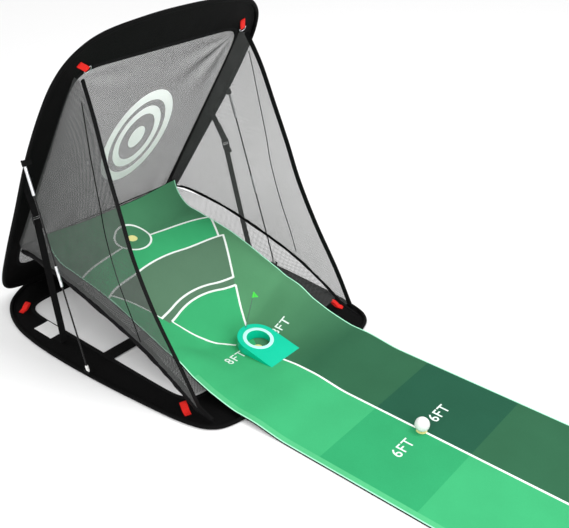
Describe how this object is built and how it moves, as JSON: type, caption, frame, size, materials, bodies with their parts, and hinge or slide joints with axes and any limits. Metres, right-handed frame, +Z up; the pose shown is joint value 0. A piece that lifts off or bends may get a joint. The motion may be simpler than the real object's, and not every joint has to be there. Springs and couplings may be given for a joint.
{
  "type": "practice putting mat with fold-down net",
  "caption": "Printed putting mat that climbs a sling inside a fold-down net with an oval target, side nets, brace rods, a ramped cup, flag and ball.",
  "frame": {"origin": "on the floor, in the middle of the whole set's footprint", "axes": "+Y from the tee end of the mat towards the net, +X to the golfer's right, +Z up"},
  "size_m": [0.8884, 3.4878, 1.0381],
  "materials": {
    "mat_green": "short printed pile",
    "band_fabric": "matt woven polyester",
    "net_fabric": "fine knitted net",
    "white_print": "matt print on net",
    "label_satin": "satin ribbon",
    "hoop_steel": "blued spring steel",
    "tab_webbing": "woven",
    "plated_steel": "plated",
    "tip_nylon": "moulded",
    "rod_fibreglass": "pultruded",
    "buckle_plastic": "moulded",
    "cup_teal": "satin moulded",
    "cup_mint": "satin moulded",
    "flag_lime": "thin sheet",
    "pole_wire": "painted wire",
    "ball_urethane": "dimpled gloss",
    "webbing": "woven webbing"
  },
  "bodies": {
    "base": {"putting_mat": "mat_green", "floor_band": "band_fabric", "floor_hoop": "hoop_steel", "floor_cross_strap": "webbing", "care_label": "label_satin", "rear_hinge_strip": "band_fabric", "mat_sling": "net_fabric", "left_side_net": "net_fabric", "right_side_net": "net_fabric", "left_net_cord": "webbing", "right_net_cord": "webbing", "left_front_webbing": "webbing", "right_front_webbing": "webbing", "left_sling_hem": "band_fabric", "right_sling_hem": "band_fabric", "rear_left_tab": "tab_webbing", "rear_right_tab": "tab_webbing", "front_left_tab": "tab_webbing", "front_right_tab": "tab_webbing", "left_strap_tail": "webbing", "right_strap_tail": "webbing", "left_rod_cradle": "webbing", "right_rod_cradle": "webbing"},
    "back_panel": {"panel_band": "band_fabric", "panel_hoop": "hoop_steel", "back_net": "net_fabric", "target_outer_ring": "white_print", "target_inner_ring": "white_print", "target_bull": "white_print", "net_elastic": "webbing", "top_left_tab": "tab_webbing", "top_right_tab": "tab_webbing", "left_d_ring": "plated_steel", "right_d_ring": "plated_steel", "left_strap_loop": "webbing", "right_strap_loop": "webbing", "left_buckle": "buckle_plastic", "right_buckle": "buckle_plastic", "left_rod_stay": "webbing", "right_rod_stay": "webbing"},
    "left_brace_rod": {"left_rod_lower": "rod_fibreglass", "left_rod_upper": "rod_fibreglass", "left_rod_ferrule": "plated_steel", "left_rod_foot_tip": "tip_nylon", "left_rod_top_tip": "plated_steel"},
    "right_brace_rod": {"right_rod_lower": "rod_fibreglass", "right_rod_upper": "rod_fibreglass", "right_rod_ferrule": "plated_steel", "right_rod_foot_tip": "tip_nylon", "right_rod_top_tip": "plated_steel"},
    "cup": {"cup": "cup_teal", "cup_ring": "cup_mint"},
    "flag_pole": {"flag_pole": "pole_wire"},
    "flag": {"flag": "flag_lime"},
    "golf_ball": {"golf_ball": "ball_urethane"}
  },
  "joints": [
    {"name": "panel_fold", "type": "hinge", "parent": "base", "child": "back_panel", "pos_m": [0, 1.7361, 0.006], "axis": [1, 0, 0], "range_deg": [0, 40], "deforming": ["putting_mat", "mat_sling", "left_side_net", "right_side_net", "left_net_cord", "right_net_cord", "left_front_webbing", "right_front_webbing", "left_sling_hem", "right_sling_hem", "left_strap_tail", "right_strap_tail"]},
    {"name": "left_rod_swing", "type": "hinge", "parent": "base", "child": "left_brace_rod", "pos_m": [-0.4335, 1.1461, 0.0191], "axis": [-1, 0, 0], "range_deg": [0, 61]},
    {"name": "right_rod_swing", "type": "hinge", "parent": "base", "child": "right_brace_rod", "pos_m": [0.4335, 1.1461, 0.0191], "axis": [-1, 0, 0], "range_deg": [0, 61]},
    {"name": "cup_lift", "type": "slide", "parent": "base", "child": "cup", "axis": [0, 0, 1], "range_m": [0, 0.03]},
    {"name": "pole_lift", "type": "slide", "parent": "cup", "child": "flag_pole", "axis": [0.342, 0, 0.9397], "range_m": [0, 0.03]},
    {"name": "flag_turn", "type": "hinge", "parent": "flag_pole", "child": "flag", "pos_m": [0.05236, 0.909, 0.14309], "axis": [0.342, 0, 0.9397], "continuous": true},
    {"name": "ball_roll", "type": "slide", "parent": "base", "child": "golf_ball", "axis": [0, 1, 0], "range_m": [-1.75, 0.2]}
  ],
  "couplings": [
    {"joint": "left_rod_swing", "follows": "panel_fold", "ratio": 1.5},
    {"joint": "right_rod_swing", "follows": "panel_fold", "ratio": 1.5}
  ]
}
